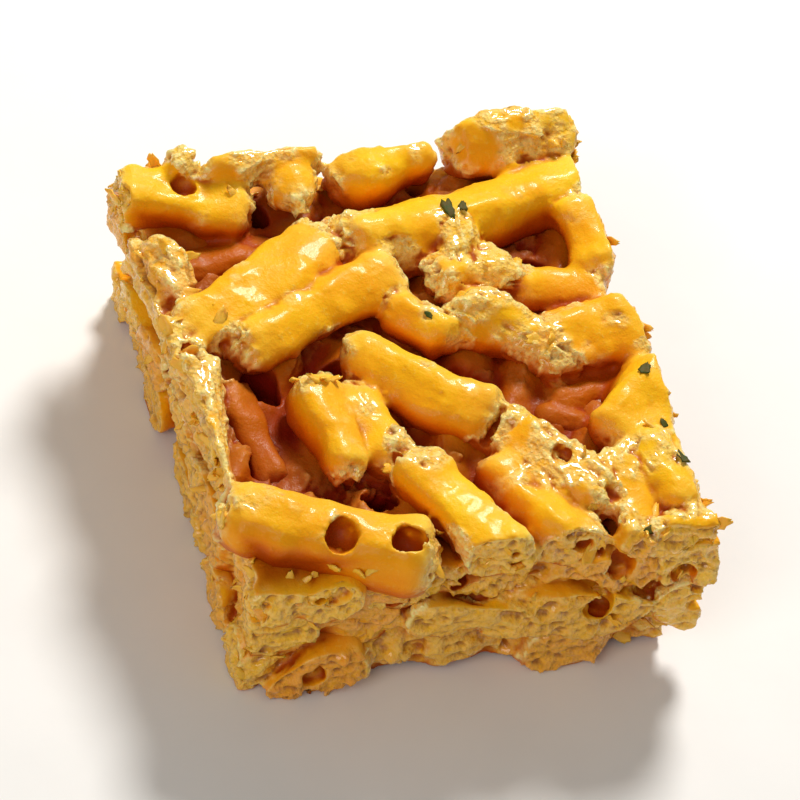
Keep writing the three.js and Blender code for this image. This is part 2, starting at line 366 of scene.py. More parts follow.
def cut_by_knife(bm, strand, dice):
    """Cuts a strand at the sides that it crosses, a little askew, and at the underside."""
    for axis in (0, 1):
        for sign in (-1, 1):
            farthest = max(bm.verts, key=lambda vert: vert.co[axis] * sign, default=None)
            if farthest is None or farthest.co[axis] * sign < BLOCK[axis] / 2 - KNIFE_REACH:
                continue
            inwards = 0.2 + wall_depth(strand, *farthest.co)
            place = Vector(farthest.co)
            place.z = strand.middle.z
            way = Vector((0, 0, dice.uniform(-ASKEW["up"], ASKEW["up"])))
            if axis == 0:
                inwards += lean_at(sign, place.z)
                way.z -= LEAN / BLOCK.z * (sign < 0)
            place[axis] = sign * (BLOCK[axis] / 2 - inwards)
            way[axis], way[1 - axis] = sign, dice.uniform(-ASKEW["along"], ASKEW["along"])
            slice_off(bm, place, way)
    if any(vert.co.z < 0 for vert in bm.verts):
        slice_off(bm, Vector((0, 0, 0)), DOWN)


def slice_off(bm, place, way):
    """Takes off what lies beyond a plane and closes the cut."""
    everything = bm.verts[:] + bm.edges[:] + bm.faces[:]
    done = bmesh.ops.bisect_plane(
        bm, geom=everything, dist=1e-5, plane_co=place, plane_no=way, clear_outer=True
    )
    rim = [item for item in done["geom_cut"] if isinstance(item, bmesh.types.BMEdge)]
    if rim:
        bmesh.ops.holes_fill(bm, edges=rim, sides=0)


def strand_mesh(strand, dice):
    """A puffed strand: squarish, swollen here and there, wrinkled lengthwise, torn at its ends."""
    bm = bmesh.new()
    bmesh.ops.create_uvsphere(bm, u_segments=32, v_segments=38, radius=1.0)
    square, roll, wobble, taper, twist = (dice.uniform(*span) for span in STRAND_SPANS)
    tear = dice.uniform(*TEAR, 2) * (0.7 + strand.dry)
    spots = np.array([vert.co for vert in bm.verts])
    share = np.arcsin(np.clip(spots[:, 2], -1, 1)) / (math.pi / 2)
    share = (share + np.sin(share * math.pi / 2)) / 2
    angle = np.arctan2(spots[:, 1], spots[:, 0])
    turn = angle + roll + twist * share
    boxy = (np.abs(np.cos(turn)) ** square + np.abs(np.sin(turn)) ** square) ** (-1 / square)
    around = np.stack([np.cos(angle), np.sin(angle), share * 1.5], axis=1)
    jag = rough(around * 2.4 + strand.number * 3.1, 0.8, 5)
    dent = rough(around * np.array((1, 1, strand.half / 3)) + strand.number * 1.7, 1.1, 9)
    waves = np.sin(strand.waves * share + strand.phase) + np.cos(2 * angle + strand.phase)
    swell = (1 + LUMP * waves + 0.09 * dent + taper * share) * (0.93 * boxy)
    for i, vert in enumerate(bm.verts):
        radius = strand.ring(share[i] * strand.half) * swell[i]
        place = strand.centre(share[i])
        sway = wobble * math.sin(2.6 * share[i] + strand.phase)
        place += strand.side * (radius * math.cos(angle[i]) + sway)
        place += strand.up * (radius * math.sin(angle[i]) * FLATNESS)
        torn = ramp(abs(share[i]), 0.7, 1.0) * tear[int(share[i] > 0)] * jag[i]
        vert.co = place + strand.along * torn
    if not strand.is_whole:
        cut_by_knife(bm, strand, dice)
    return bm


def filling_mesh(low, top, inset, seed):
    """An uneven slab of pressed dough, which fills the block behind the strands of a layer."""
    bm = bmesh.new()
    bmesh.ops.create_cube(bm, size=1.0)
    bmesh.ops.scale(bm, vec=(BLOCK.x - 2 * inset, BLOCK.y - 2 * inset, top - low), verts=bm.verts)
    bmesh.ops.translate(bm, vec=(0, 0, (top + low) / 2), verts=bm.verts)
    bmesh.ops.subdivide_edges(bm, edges=bm.edges[:], cuts=36, use_grid_fill=True)
    spots = np.array([vert.co for vert in bm.verts])
    for vert, out, rise in zip(bm.verts, rough(spots, 5.0, seed), rough(spots, 6.5, seed + 5)):
        vert.co += Vector((vert.co.x, vert.co.y, 0)).normalized() * (0.9 * out)
        if vert.co.x < 0:
            vert.co.x += LEAN * (1 - vert.co.z / BLOCK.z)
        if vert.co.z > top - 0.01:
            vert.co.z += 1.4 * rise
    return bm


def lumpy_ball(radius, depth, size, octaves, dice):
    """A ball with lumps of a size, and for each of its points how far the lumps reach."""
    bm = bmesh.new()
    bmesh.ops.create_icosphere(bm, subdivisions=3, radius=radius)
    spots = np.array([vert.co for vert in bm.verts])
    return bm, 1 + depth * rough(spots + 40 * dice.uniform(), size, 3, octaves)


def crumb_mesh(x, y, size, proud, dice):
    bm, lumps = lumpy_ball(size / 2, 0.25, size / 3, 3, dice)
    for vert, lump in zip(bm.verts, lumps):
        vert.co = vert.co * lump
    bmesh.ops.translate(bm, vec=(x, y, BLOCK.z + proud - size / 2), verts=bm.verts)
    return bm


def bubble_mesh(place, radii, way, dice):
    """An uneven bubble: round across a way and longer along it."""
    bm, lumps = lumpy_ball(1.0, 0.22, 0.9, 2, dice)
    turn = Vector(way).to_track_quat("Z", "Y").to_matrix()
    for vert, lump in zip(bm.verts, lumps):
        spot = Vector((vert.co.x * radii[0], vert.co.y * radii[0], vert.co.z * radii[1])) * lump
        vert.co = turn @ spot + Vector(place)
    return bm


def object_of(name, meshes):
    """One object that holds the given bmeshes side by side."""
    joined = bmesh.new()
    scratch = bpy.data.meshes.new("scratch")
    for bm in meshes:
        bm.to_mesh(scratch)
        joined.from_mesh(scratch)
        bm.free()
    mesh = bpy.data.meshes.new(name)
    joined.to_mesh(mesh)
    joined.free()
    bpy.data.meshes.remove(scratch)
    made = bpy.data.objects.new(name, mesh)
    bpy.context.collection.objects.link(made)
    return made


def apply_modifiers(made):
    """Turns an object's modifiers into its mesh."""
    depsgraph = bpy.context.evaluated_depsgraph_get()
    before = made.data
    made.data = bpy.data.meshes.new_from_object(made.evaluated_get(depsgraph))
    made.modifiers.clear()
    bpy.data.meshes.remove(before)
    made.data.name = made.name


def fuse(made, grain):
    """Joins what overlaps in an object's mesh into one skin of even grain."""
    remesh = made.modifiers.new("fuse", "REMESH")
    remesh.mode, remesh.voxel_size, remesh.adaptivity = "VOXEL", grain, 0
    apply_modifiers(made)


def web(made, reach, grain):
    """Fills narrow gaps between strands, as syrup does: swells the skin, fuses it, shrinks it."""
    for way in (1, -1):
        swell = made.modifiers.new("swell", "DISPLACE")
        swell.strength, swell.mid_level = way * reach, 0
        apply_modifiers(made)
        fuse(made, grain)


def open_bubbles(made, bubbles):
    """Hollows the bubbles out of an object."""
    tool = object_of("bubbles", bubbles)
    fuse(tool, BUBBLE_GRAIN)
    cut = made.modifiers.new("open", "BOOLEAN")
    cut.operation, cut.solver, cut.object = "DIFFERENCE", "MANIFOLD", tool
    apply_modifiers(made)
    bpy.data.objects.remove(tool)


def soften(made, rounds):
    """Rounds the creases off, as syrup does where it gathers."""
    smooth = made.modifiers.new("soften", "SMOOTH")
    smooth.factor, smooth.iterations = 0.5, rounds
    apply_modifiers(made)


def thin_out(made):
    """Keeps a piece under its number of triangles."""
    triangles = sum(len(face.vertices) - 2 for face in made.data.polygons)
    if triangles > MOST_TRIANGLES:
        thin = made.modifiers.new("thin", "DECIMATE")
        thin.ratio = MOST_TRIANGLES / triangles
        apply_modifiers(made)


# ---- The surface of the strands ---------------------------------------------------------------

# Which ways the skin faces where painted light makes it paler, towards the key light, and painted
# shade darker, away from it.
LIT_WAY, SHADED_WAY = np.array((0.66, 0.70, 0.25)), np.array((-0.6, -0.75, 0.0))


def vertex_array(mesh, what):
    values = np.empty(len(mesh.vertices) * 3)
    if what == "normal":
        mesh.vertex_normals.foreach_get("vector", values)
    else:
        mesh.vertices.foreach_get(what, values)
    return values.reshape(-1, 3)


def nearest_strands(points, strands):
    """For each point, its nearest strand, its share of the way to that strand's end, and its place
    along, across and over the strand in millimetres."""
    best = np.full(len(points), 1e9)
    owner = np.zeros(len(points), int)
    share = np.zeros(len(points))
    local = np.zeros((len(points), 3))
    for number, strand in enumerate(strands):
        axes = np.array((strand.along, strand.side, strand.up))
        spots = (points - np.array(strand.middle)) @ axes.T
        part = np.clip(spots[:, 0] / strand.half, -1, 1)
        across = spots[:, 1] - strand.bow * (1 - part**2)
        past = spots[:, 0] - part * strand.half
        gap = np.sqrt(across**2 + (spots[:, 2] / FLATNESS) ** 2 + past**2) / strand.radius
        closer = gap < best
        best[closer], owner[closer] = gap[closer], number
        share[closer], local[closer] = np.abs(part[closer]), spots[closer]
    return owner, share, local


def leans_at(points):
    """How much further in the left side lies at each point's height, and 0 in the right half."""
    return LEAN * np.clip(1 - points[:, 2] / BLOCK.z, 0, 1) * (points[:, 0] < 0)


def cut_faces(points, normals):
    """How much each point belongs to a side that the knife cut: 1 on it, 0 away from it."""
    faced = np.zeros(len(points))
    for axis in (0, 1):
        out = points[:, axis] * np.sign(normals[:, axis])
        if axis == 0:
            out = out + leans_at(points)
        near = ramp(out, BLOCK[axis] / 2 - CUT_SKIN[0], BLOCK[axis] / 2 - CUT_SKIN[1])
        faced = np.maximum(faced, near * ramp(np.abs(normals[:, axis]), 0.45, 0.85))
    return faced


def depth_inside(points):
    """How deep each point lies behind the block's outline, in millimetres."""
    from_side = BLOCK.x / 2 - np.abs(points[:, 0]) - leans_at(points)
    side = np.minimum(from_side, BLOCK.y / 2 - np.abs(points[:, 1]))
    return np.clip(np.minimum(BLOCK.z - points[:, 2], side), 0, None)


def set_attribute(mesh, name, values):
    attribute = mesh.attributes.new(name, "FLOAT", "POINT")
    attribute.data.foreach_set("value", np.asarray(values, np.float32))


def hollowness(mesh, points, normals, rounds, pull=0.5):
    """How far each point lies below its surroundings, in millimetres: less than 0 on a ridge."""
    ends = np.empty(len(mesh.edges) * 2, int)
    mesh.edges.foreach_get("vertices", ends)
    first, second = ends.reshape(-1, 2).T
    count = np.bincount(ends, minlength=len(points))[:, None]
    level = points.copy()
    for _ in range(rounds):
        total = np.stack(
            [np.bincount(first, level[second, axis], len(points))
             + np.bincount(second, level[first, axis], len(points)) for axis in range(3)], axis=1)
        level = (1 - pull) * level + pull * total / count
    return np.sum((level - points) * normals, axis=1)


def relief(points, fibres, cut, torn, sizes):
    """How far each point is raised or sunk: dents and blisters, crumbs and crests, pores and pits.

    The fibres are the points along, across and over each strand, drawn out lengthwise.
    """
    patchy = 0.5 + 0.5 * rough(points, 5.0, 75)
    blister = ramp(0.72 - cells(fibres, 1.3, 31), 0.0, 0.5)
    fine = ramp(0.7 - cells(points, 0.7, 37), 0.0, 0.45)
    pore = ramp(0.48 + 0.13 * rough(points, 4.0, 49) - cells(fibres, 1.7, 41), 0.0, 0.30) * cut
    cave = ramp(0.33 + 0.10 * rough(points, 9.0, 53) - cells(fibres, 3.8, 45), 0.0, 0.22) * cut
    wart = ramp(0.24 - cells(points, 1.9, 59), 0.0, 0.2) * (1 - torn)
    hole = ramp(0.17 + 0.22 * rough(points, 3.0, 47) - cells(fibres, 1.6, 43), 0.0, 0.2)
    hole *= ramp(torn, 0.3, 0.8) * (1 - cut)
    lift = sizes.dent / MM * (rough(points, 2.6, 51) + 3.0 * cut * (rough(fibres, 3.2, 57) - 0.4))
    lift += sizes.blister / MM * torn * (blister + 0.6 * fine - 0.6)
    lift += sizes.crumble / MM * np.maximum(cut, torn) * rough(fibres, 1.1, 61)
    plate = 0.5 + 0.5 * rough(fibres * (0.7, 1, 1), 2.2, 67, 2)
    lift += 0.9 * sizes.crumble / MM * torn * (1 - cut) * (ramp(plate, 0.47, 0.55) - 0.5)
    crest = ramp(np.abs(rough(fibres * (0.8, 1, 1), 2.0, 73, 2)), 0.22, 0.0)
    lift += 1.6 * sizes.crumble / MM * np.maximum(torn, 0.6 * cut) * crest * ramp(patchy, 0.35, 0.7)
    lift += sizes.dent / MM * (0.8 * rough(fibres * (0.5, 1, 1), 1.1, 65) + 1.3 * wart)
    lift -= sizes.pit / MM * (pore + hole + 1.8 * cave)
    return lift


def masks_of(mesh, points, share, height, lit_facing, cut, torn):
    """What the dough's looks go by, at each point of the roughened mesh, from 0 to 1."""
    normals = vertex_array(mesh, "normal")
    depth = depth_inside(points)
    hollow = hollowness(mesh, points, normals, 12)
    upright = ramp(normals[:, 2], 0.2, 0.9)
    # Painted shade: how much the skin faces away from the key light.
    shade_facing = ramp(normals @ SHADED_WAY, 0.1, 0.8)
    # Painted shade under each strand, less where the skin faces up.
    under = ramp(height + 1.2 * upright, 1.6, -2.4)
    # flank is painted shade: more orange deeper in the block, facing away from the light and under
    # a strand, less on top.
    flank = np.maximum(ramp(depth, 0.8, 4.5) * (1 - 0.6 * upright) + 0.35 * shade_facing, under)
    # Painted shade deeper in the block and lower on a strand.
    sunk = ramp(depth, 1.7, 4.4) * (1 - 0.2 * upright) + 0.5 * ramp(height, -0.5, -3.0)
    folded = ramp(hollowness(mesh, points, normals, 30, 0.9), 0.03, 0.4)
    # crease is painted shade in the folds and low places, left off the cut sides.
    crease = np.clip(folded + sunk, 0, 1) * (1 - cut)
    # pale is paler dough towards the ends, with painted light on the side facing the key light and
    # less of it facing away.
    pale = (0.25 + ramp(share, 0.45, 1.0)) * (0.4 + 0.6 * lit_facing) * (1 - 0.8 * shade_facing)
    return {
        "cloud": 0.5 + 0.5 * rough(points, 5.0, 71),
        "cut": cut,
        "torn": torn * (1 - 0.9 * crease),
        "pale": np.clip(pale, 0, 1),
        "flank": np.clip(flank * (1 - cut), 0, 1),
        # deep is painted shade deep in the block, where syrup also gathers.
        "deep": ramp(depth, 4.0, 7.0),
        # hollow is painted shade in hollows and pits.
        "hollow": ramp(hollow, 0.02, 0.2),
        "crease": crease,
        "ridge": ramp(-hollow, 0.03, 0.2),
    }


def roughen(made, strands, sizes):
    """Blisters and dents all over, pits and tears where the dough was cut, and the looks' masks."""
    mesh = made.data
    points, normals = vertex_array(mesh, "co"), vertex_array(mesh, "normal")
    owner, share, local = nearest_strands(points, strands)
    fibres = local * (0.45, 1, 1) + owner[:, None] * (7.3, 3.1, 5.7)
    dry = np.array([strand.dry for strand in strands])[owner]
    whole = np.array([strand.is_whole for strand in strands])[owner]
    cut = cut_faces(points, normals) * ~whole
    ends = ramp(share, 0.8, 0.97)
    # How much the skin faces the key light, for the painted light on that side.
    lit_facing = ramp(normals @ LIT_WAY, 0.1, 0.9)
    patches = ramp(rough(points, 4.0, 21) + 1.5 * dry - 0.5, 0.0, 0.6)
    # The skin facing the key light counts as a little torn: it is blistered, and painted creamy
    # pale as painted light.
    torn = np.clip(np.maximum(cut, 0.8 * ends + 0.8 * patches + 0.25 * lit_facing - 0.15), 0, 1)
    points += normals * relief(points, fibres, cut, torn, sizes)[:, None]
    points[:, 2] = np.maximum(points[:, 2], 0)
    mesh.vertices.foreach_set("co", points.ravel())
    mesh.update()
    tones = np.random.RandomState(SEEDS["tones"]).uniform(0, 1, len(strands))
    set_attribute(mesh, "tone", tones[owner])
    for name, values in masks_of(mesh, points, share, local[:, 2], lit_facing, cut, torn).items():
        set_attribute(mesh, name, values)


def off_middle(strand, spread, dice):
    """A random way across a strand, of up to a share of its radius to each side."""
    return strand.side * dice.uniform(-spread, spread) + strand.up * dice.uniform(-spread, spread)


def cut_end_bubbles(strands, dice):
    """Bubbles that the knife opened in the strands' ends, and smaller ones round them."""
    found = []
    for strand in strands:
        for end, way in ((strand.start, -1), (strand.end, 1)):
            over = [abs(end[i]) - (BLOCK[i] / 2 - strand.behind) for i in (0, 1)]
            if max(over) < -0.5:
                continue
            slope = max(abs(strand.along[over.index(max(over))]), 0.25)
            place = end - strand.along * way * (max(over) / slope + 0.5)
            place += off_middle(strand, 0.4, dice) * strand.radius
            wide = strand.radius * dice.uniform(0.2, 0.5)
            radii = (wide, wide * dice.uniform(0.9, 1.5))
            found.append(bubble_mesh(place, radii, strand.along, dice))
            for _ in range(dice.randint(3, 7)):
                spot = place + off_middle(strand, 0.75, dice) * strand.radius
                small = strand.radius * dice.uniform(0.1, 0.22)
                found.append(bubble_mesh(spot, (small, small * 1.8), strand.along, dice))
    return found


def finish_piece(made, material):
    """Brings a piece to metres, smooths its shading and hands it to the frame."""
    if not made.data.polygons:
        raise RuntimeError(made.name + " came out empty")
    made.data.transform(Matrix.Scale(MM, 4) @ Matrix.Translation(CENTRED))
    made.data.shade_smooth()
    made.data.materials.clear()
    made.data.materials.append(material)
    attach(made, "root")
    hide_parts(SOLID)


def make_strands(name, strands, extra, bubbles, sizes, finish):
    """Models one group of strands, from its bare strands to its finished surface."""
    dice = np.random.RandomState(len(strands))
    grain = sizes.grain / MM
    made = object_of(name, [strand_mesh(strand, dice) for strand in strands] + extra)
    fuse(made, grain * 1.1)
    web(made, sizes.web / MM, grain * 1.1)
    open_bubbles(made, bubbles + cut_end_bubbles(strands, dice))
    fuse(made, grain)
    soften(made, sizes.softness)
    roughen(made, strands, sizes)
    thin_out(made)
    finish_piece(made, strand_material(finish))
    made["is_strands"] = True


# ---- Materials --------------------------------------------------------------------------------

# The attributes that roughen leaves on the strands; pale holds paler ends and painted light, flank,
# crease, hollow and deep hold painted shade.
MASKS = ("tone", "cloud", "cut", "torn", "pale", "flank", "deep", "hollow", "ridge", "crease")


def feed(tree, socket, value):
    """Gives a socket a number, a colour or what another node puts out."""
    if isinstance(value, bpy.types.NodeSocket):
        tree.links.new(value, socket)
    elif isinstance(value, (int, float)):
        socket.default_value = value
    else:
        socket.default_value = (*value, 1.0)


def new_node(tree, kind, inputs, **settings):
    """A node with its settings, and with its inputs fed by their names or numbers."""
    node = tree.nodes.new(kind)
    for name, value in settings.items():
        setattr(node, name, value)
    for name, value in inputs.items():
        feed(tree, node.inputs[name], value)
    return node


def attribute_value(tree, name):
    return new_node(tree, "ShaderNodeAttribute", {}, attribute_name=name).outputs["Fac"]


def object_points(tree):
    return new_node(tree, "ShaderNodeTexCoord", {}).outputs["Object"]


def noise_value(tree, size, detail=4.0, roughness=0.55):
    """Noise over the object whose lumps are about size metres wide."""
    inputs = {"Vector": object_points(tree), "Scale": 1 / size}
    inputs |= {"Detail": detail, "Roughness": roughness}
    return new_node(tree, "ShaderNodeTexNoise", inputs).outputs["Fac"]


def cell_value(tree, size):
    """The distance from each point to the nearest of some strewn seeds, over their spacing."""
    inputs = {"Vector": object_points(tree), "Scale": 1 / size}
    return new_node(tree, "ShaderNodeTexVoronoi", inputs).outputs["Distance"]


def times(tree, first, second):
    inputs = {0: first, 1: second}
    return new_node(tree, "ShaderNodeMath", inputs, operation="MULTIPLY").outputs["Value"]


def plus(tree, first, second):
    """A sum that stops at 1."""
    inputs = {0: first, 1: second}
    node = new_node(tree, "ShaderNodeMath", inputs, operation="ADD", use_clamp=True)
    return node.outputs["Value"]


def ranged(tree, value, low, high, to_low=0.0, to_high=1.0):
    """Goes smoothly from to_low to to_high while the value goes from low to high."""
    inputs = {"Value": value, "From Min": low, "From Max": high}
    inputs |= {"To Min": to_low, "To Max": to_high}
    node = new_node(tree, "ShaderNodeMapRange", inputs, interpolation_type="SMOOTHSTEP")
    return node.outputs["Result"]


def mixed(tree, share, first, second):
    """A colour between two others: the first at share 0, the second at share 1."""
    node = new_node(tree, "ShaderNodeMix", {}, data_type="RGBA")
    sockets = {socket.identifier: socket for socket in (*node.inputs, *node.outputs)}
    for name, value in (("Factor_Float", share), ("A_Color", first), ("B_Color", second)):
        feed(tree, sockets[name], value)
    return sockets["Result_Color"]


def tinted(tree, colour, mask, most, tint):
    """A colour under a tint that is as thick as most where the mask is 1."""
    return mixed(tree, times(tree, mask, most), colour, tint)


def bumped(tree, height, distance, strength, below=None):
    """Normals for a relief of so many metres, over the relief below it, if any."""
    inputs = {"Distance": distance, "Strength": strength, "Height": height}
    if below is not None:
        inputs["Normal"] = below
    return new_node(tree, "ShaderNodeBump", inputs).outputs["Normal"]


def set_constants(node, constants):
    """Puts values on a node's own sockets as they are, which feed does for numbers alone."""
    for name, value in constants.items():
        node.inputs[name].default_value = value


def new_material(name):
    """A material with nothing but its Principled shader, and that shader."""
    material = bpy.data.materials.new(name)
    material.use_nodes = True
    shader = material.node_tree.nodes["Principled BSDF"]
    return material, material.node_tree, shader


def dough_colour(tree, masks, speckle, finish):
    """Gold, paler and browner by turns, and dry where it is torn.

    Painted light makes it paler on the side facing the key light; painted shade makes it darker
    where it lies deep, in creases and hollows and down its flanks.
    """
    gold = mixed(tree, masks["cloud"], finish.gold, finish.yellow)
    gold = tinted(tree, gold, masks["tone"], 0.35, finish.amber)
    # Straw towards the ends, and painted light on the side facing the key light.
    gold = tinted(tree, gold, masks["pale"], 0.6, finish.straw)
    gold = mixed(tree, ranged(tree, speckle, 0.55, 0.72, 0.0, 0.35), gold, finish.straw)
    # Painted shade: orange down the flanks.
    gold = tinted(tree, gold, masks["flank"], 0.85, finish.orange)
    # Painted shade: russet in the creases.
    gold = tinted(tree, gold, masks["crease"], 0.95, finish.russet)
    dry = mixed(tree, ranged(tree, speckle, 0.3, 0.55), finish.crust, finish.cream)
    dry = tinted(tree, dry, masks["cut"], 0.75, finish.crumb)
    browned = ranged(tree, masks["tone"], 0.3, 1.0, 0.0, 0.6)
    dry = tinted(tree, dry, masks["cut"], browned, finish.amber)
    clouded = ranged(tree, masks["cloud"], 0.3, 0.75, 1.0, 0.7)
    # Dry cream where torn, which includes painted light on the side facing the key light.
    dry_and_lit = times(tree, times(tree, masks["torn"], 0.76), clouded)
    dry_and_lit = times(tree, dry_and_lit, ranged(tree, speckle, 0.3, 0.6, 0.35, 1.0))
    # Paler on raised ridges, more where the skin is torn.
    raised = times(tree, masks["ridge"], ranged(tree, masks["torn"], 0.1, 0.7, 0.06, 0.9))
    dry_and_lit = plus(tree, dry_and_lit, raised)
    dry_and_lit = times(tree, dry_and_lit, ranged(tree, masks["crease"], 0.0, 1.0, 1.0, 0.3))
    colour = mixed(tree, dry_and_lit, gold, dry)
    # Painted shade in the hollows: orange, russet in creases and pore brown where torn.
    hollow_shade = mixed(tree, masks["crease"], finish.orange, finish.russet)
    hollow_shade = mixed(tree, masks["torn"], hollow_shade, finish.pore)
    colour = tinted(tree, colour, masks["hollow"], 0.8, hollow_shade)
    # Painted shade deep in the block, where syrup also gathers.
    return tinted(tree, colour, masks["deep"], 0.97, finish.deep)


def strand_material(finish):
    """Golden fried dough under clear syrup, with painted shade deeper in the gaps, pale and dry
    where it is torn.
    """
    found = bpy.data.materials.get("golden_dough")
    if found:
        return found
    material, tree, shader = new_material("golden_dough")
    masks = {name: attribute_value(tree, name) for name in MASKS}
    speckle = noise_value(tree, 0.0009, 3.0, 0.7)
    feed(tree, shader.inputs["Base Color"], dough_colour(tree, masks, speckle, finish))

    matt = ranged(tree, speckle, 0.3, 0.7, 0.5, 0.3)
    roughness = plus(tree, matt, times(tree, masks["cut"], 0.2))
    feed(tree, shader.inputs["Roughness"], roughness)
    sheltered = plus(tree, masks["deep"], masks["crease"])
    coat = times(tree, ranged(tree, masks["torn"], 0.1, 0.8, 0.12, 1.0),
                 ranged(tree, sheltered, 0.0, 0.8, 1.0, 0.1))
    feed(tree, shader.inputs["Coat Weight"], coat)
    set_constants(shader, {
        "Subsurface Weight": 0.15,
        "Subsurface Radius": (1.0, 0.3, 0.05),
        "Subsurface Scale": 0.001,
        "Specular IOR Level": 0.11,
        "Coat Roughness": 0.1,
        "IOR": 1.45,
    })

    grain = bumped(tree, speckle, 0.00028, ranged(tree, masks["torn"], 0.0, 0.8, 0.5, 1.0))
    bubbly = ranged(tree, masks["torn"], 0.1, 0.8, 0.05, 0.9)
    bubbly_relief = bumped(tree, cell_value(tree, 0.0005), 0.0002, bubbly, grain)
    feed(tree, shader.inputs["Normal"], bubbly_relief)
    return material


def patchy_material(name, tones, patches, relief, constants):
    """Two tones in patches under a fine relief.

    The patches have a size in metres, a detail and the range over which the second tone comes in.
    The relief has a size in metres, a detail, a height in metres and a strength.
    """
    material, tree, shader = new_material(name)
    size, detail, low, high = patches
    patchy = ranged(tree, noise_value(tree, size, detail), low, high)
    feed(tree, shader.inputs["Base Color"], mixed(tree, patchy, *tones))
    size, detail, height, strength = relief
    fine = bumped(tree, noise_value(tree, size, detail), height, strength)
    feed(tree, shader.inputs["Normal"], fine)
    set_constants(shader, constants)
    return material


def flake_material(finish):
    """Thin dry skin: cream, browner in places and a little see-through."""
    constants = {
        "Roughness": 0.5,
        "Coat Weight": 0.25,
        "Subsurface Weight": 0.3,
        "Subsurface Radius": (1.0, 0.4, 0.1),
        "Subsurface Scale": 0.0006,
    }
    patches, relief = (0.0014, 3.0, 0.35, 0.65), (0.0005, 3.0, 0.00015, 0.6)
    return patchy_material("torn_skin", (finish.crust, finish.crumb), patches, relief, constants)


def seaweed_material(finish):
    """Dark green dried leaf, brownish here and there."""
    constants = {"Roughness": 0.6, "Specular IOR Level": 0.2}
    patches, relief = (0.0006, 4.0, 0.35, 0.65), (0.0003, 4.0, 0.0001, 0.6)
    tones = (finish.leaf, finish.leaf_brown)
    return patchy_material("dried_seaweed", tones, patches, relief, constants)


def floor_material(studio):
    """A pale, matt surface with a barely visible unevenness."""
    patches, relief = (0.02, 5.0, 0.3, 0.7), (0.0015, 4.0, 0.00005, 0.2)
    tones = (studio.floor, studio.floor_shade)
    return patchy_material("pale_floor", tones, patches, relief, {"Roughness": 0.6})


# ---- What lies on the block -------------------------------------------------------------------


def surface_tree():
    """The finished strands as one tree for casting rays onto, in metres."""
    spots, faces = [], []
    for made in bpy.data.objects:
        if made.get("is_strands"):
            base = len(spots)
            spots.extend(vert.co.copy() for vert in made.data.vertices)
            faces.extend([base + i for i in face.vertices] for face in made.data.polygons)
    if not faces:
        raise RuntimeError("lay the strands first: there is nothing to put this on")
    return BVHTree.FromPolygons(spots, faces)


def lay_on(name, meshes, material):
    """Finishes a piece of flakes, which were shaped in metres to the finished surface."""
    made = object_of(name, meshes)
    made.data.transform(Matrix.Translation(-CENTRED) @ Matrix.Scale(1 / MM, 4))
    finish_piece(made, material)


def flake_mesh(place, normal, length, lean, thick, dice):
    """A thin, ragged, crumpled flake that leans out of the surface at one end, in metres."""
    bm = bmesh.new()
    bmesh.ops.create_grid(bm, x_segments=5, y_segments=4, size=0.5)
    width = length * dice.uniform(0.5, 0.8)
    spots = np.array([vert.co for vert in bm.verts])
    crumple = rough(spots * 2.2 + 30 * dice.uniform(), 1.0, 91, 2)
    for vert, fold in zip(bm.verts, crumple):
        ragged = 1 + dice.uniform(-0.3, 0.2) * (max(abs(vert.co.x), abs(vert.co.y)) > 0.45)
        narrow = 1 - 0.45 * (vert.co.x + 0.5) ** 2 - 0.3 * (2 * abs(vert.co.x)) ** 3
        vert.co = Vector((vert.co.x * length, vert.co.y * width * narrow, 0)) * ragged
        vert.co.z = (0.16 * fold - (0.5 if lean else 0.05) * (vert.co.y / width) ** 2) * width
        vert.co.x += 0.25 * length * (lean > 0)
    lower = bmesh.ops.extrude_face_region(bm, geom=bm.faces[:])["geom"]
    under = [item for item in lower if isinstance(item, bmesh.types.BMVert)]
    bmesh.ops.translate(bm, vec=(0, 0, -thick), verts=under)
    bmesh.ops.recalc_face_normals(bm, faces=bm.faces[:])
    raised = Matrix.Rotation(-lean, 4, "Y")
    spin = Matrix.Rotation(dice.uniform(0, 2 * math.pi), 4, "Z")
    stand = normal.to_track_quat("Z", "Y").to_matrix().to_4x4()
    moved = Matrix.Translation(place) @ stand @ spin @ raised
    bmesh.ops.transform(bm, matrix=moved, verts=bm.verts)
    return bm


def is_at_edge(spot):
    """Whether a flake would stand out of the block's outline there."""
    return spot.z > BLOCK.z or any(abs(spot[i]) > BLOCK[i] / 2 - 0.1 for i in (0, 1))


def side_spot(heights, dice):
    """A random place along one of the cut sides: its axis, its sign and the place in the middle."""
    axis, sign = int(dice.randint(2)), 1 if dice.randint(2) else -1
    spot = Vector((0, 0, dice.uniform(*heights)))
    spot[1 - axis] = dice.uniform(-ALONG_SIDE, ALONG_SIDE) * BLOCK[1 - axis]
    return axis, sign, spot


def wall_spots(count, dice):
    """Starts and directions of level rays that meet the four cut sides at random places."""
    for _ in range(count):
        axis, sign, start = side_spot(SIDE_HEIGHTS, dice)
        start[axis] = sign * FAR
        way = Vector((0, 0, 0))
        way[axis] = -sign
        yield start, way


def rim_spots(count, dice):
    """The same for the upper edge of the cut sides, from outside and above."""
    for _ in range(count):
        axis, sign, edge = side_spot(RIM_HEIGHTS, dice)
        edge[axis] = sign * (BLOCK[axis] / 2 - 1)
        way = Vector((0, 0, -0.7))
        way[axis] = -0.7 * sign
        yield edge - way * 50, way


